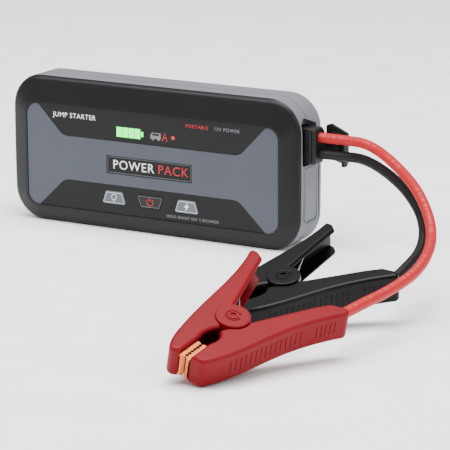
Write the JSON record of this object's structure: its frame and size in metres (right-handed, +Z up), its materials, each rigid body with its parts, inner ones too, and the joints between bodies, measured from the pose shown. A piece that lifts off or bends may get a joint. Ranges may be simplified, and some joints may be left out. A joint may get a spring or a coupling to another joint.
{
  "type": "jump starter pack",
  "caption": "Flat battery pack standing on its long edge with a keypad face, end ports, a torch, and a plug-in lead to a red and a black clamp.",
  "frame": {"origin": "middle of the pack's flat bottom edge, on the floor", "axes": "+X along the pack towards the lead's socket; the face looks along -Y; +Z up"},
  "size_m": [0.2898, 0.2564, 0.08],
  "materials": {
    "shell": "fine texture",
    "bezel": "satin",
    "panel": "satin",
    "dark_plate": "satin",
    "light_bar": "clear tinted",
    "red_light": "clear tinted",
    "grey_key": "satin",
    "dark_key": "satin",
    "screw_steel": "zinc plated",
    "board": "solder mask",
    "chip": "moulded",
    "cell_foil": "pouch foil",
    "foam": "closed foam",
    "copper": "copper plated",
    "contact_gold": "gold plated",
    "socket_plastic": "moulded",
    "grey_rubber": "matte",
    "black_rubber": "matte",
    "port_steel": "stamped",
    "lens": "clear",
    "lamp_white": "white",
    "red_plastic": "satin",
    "black_plastic": "satin",
    "spring_steel": "wire",
    "red_silicone": "satin",
    "black_silicone": "satin"
  },
  "bodies": {
    "pack": {"badge_plate": "dark_plate", "battery_cells": "cell_foil", "board_chips": "chip", "bus_bars": "copper", "case_screws": "screw_steel", "cell_pads": "foam", "cover_bracket": "shell", "cover_pin": "screw_steel", "display_window": "dark_plate", "face_bezel": "bezel", "face_panel": "panel", "front_shell": "shell", "gauge_bars": "light_bar", "jump_socket": "socket_plastic", "keypad_plate": "dark_plate", "main_board": "board", "port_board": "board", "port_pin": "screw_steel", "power_transistors": "chip", "rear_shell": "shell", "socket_contacts": "contact_gold", "status_light": "red_light", "tact_switches": "chip", "torch_lamp": "lamp_white", "torch_lens": "lens", "usb_a_socket": "port_steel", "usb_c_socket": "port_steel"},
    "light_key": {"light_key": "grey_key"},
    "power_key": {"power_key": "dark_key"},
    "boost_key": {"boost_key": "grey_key"},
    "socket_cover": {"socket_cover": "black_rubber"},
    "port_cover": {"port_cover": "grey_rubber"},
    "lead": {"plug_housing": "socket_plastic", "plug_pins": "contact_gold", "red_cord": "red_silicone", "black_cord": "black_silicone", "red_cable_arm": "red_plastic", "red_cable_jaw": "copper", "red_clamp_pin": "red_plastic", "red_clamp_spring": "spring_steel", "red_lead_strip": "copper", "red_cable_crimp": "copper", "black_cable_arm": "black_plastic", "black_cable_jaw": "copper", "black_clamp_pin": "black_plastic", "black_clamp_spring": "spring_steel", "black_lead_strip": "copper", "black_cable_crimp": "copper"},
    "red_grip": {"red_grip_arm": "red_plastic", "red_grip_jaw": "copper"},
    "black_grip": {"black_grip_arm": "black_plastic", "black_grip_jaw": "copper"}
  },
  "joints": [
    {"name": "light_key_press", "type": "slide", "parent": "pack", "child": "light_key", "axis": [0, 1, 0], "range_m": [0, 0.0005], "stiffness_N_per_m": 400, "springref_m": -0.0005},
    {"name": "power_key_press", "type": "slide", "parent": "pack", "child": "power_key", "axis": [0, 1, 0], "range_m": [0, 0.0005], "stiffness_N_per_m": 400, "springref_m": -0.0005},
    {"name": "boost_key_press", "type": "slide", "parent": "pack", "child": "boost_key", "axis": [0, 1, 0], "range_m": [0, 0.0005], "stiffness_N_per_m": 400, "springref_m": -0.0005},
    {"name": "socket_cover_hinge", "type": "hinge", "parent": "pack", "child": "socket_cover", "pos_m": [0.0908, 0.0104, 0.055], "axis": [0, 0, 1], "range_deg": [0, 95]},
    {"name": "port_cover_hinge", "type": "hinge", "parent": "pack", "child": "port_cover", "pos_m": [0.0875, 0.008, 0.02935], "axis": [0, 0, 1], "range_deg": [0, 90]},
    {"name": "lead_plug", "type": "slide", "parent": "pack", "child": "lead", "axis": [1, 0, 0], "range_m": [0, 0.02]},
    {"name": "red_clamp_squeeze", "type": "hinge", "parent": "lead", "child": "red_grip", "pos_m": [0.1589, -0.2058, 0.0179], "axis": [-0.295, 0.275, -0.9151], "range_deg": [0, 36], "stiffness_Nm_per_rad": 1, "springref_deg": -17.19, "deforming": ["red_clamp_spring"]},
    {"name": "black_clamp_squeeze", "type": "hinge", "parent": "lead", "child": "black_grip", "pos_m": [0.1448, -0.1314, 0.0166], "axis": [-0.104, 0.2901, -0.9513], "range_deg": [0, 36], "stiffness_Nm_per_rad": 1, "springref_deg": -17.19, "deforming": ["black_clamp_spring"]}
  ]
}
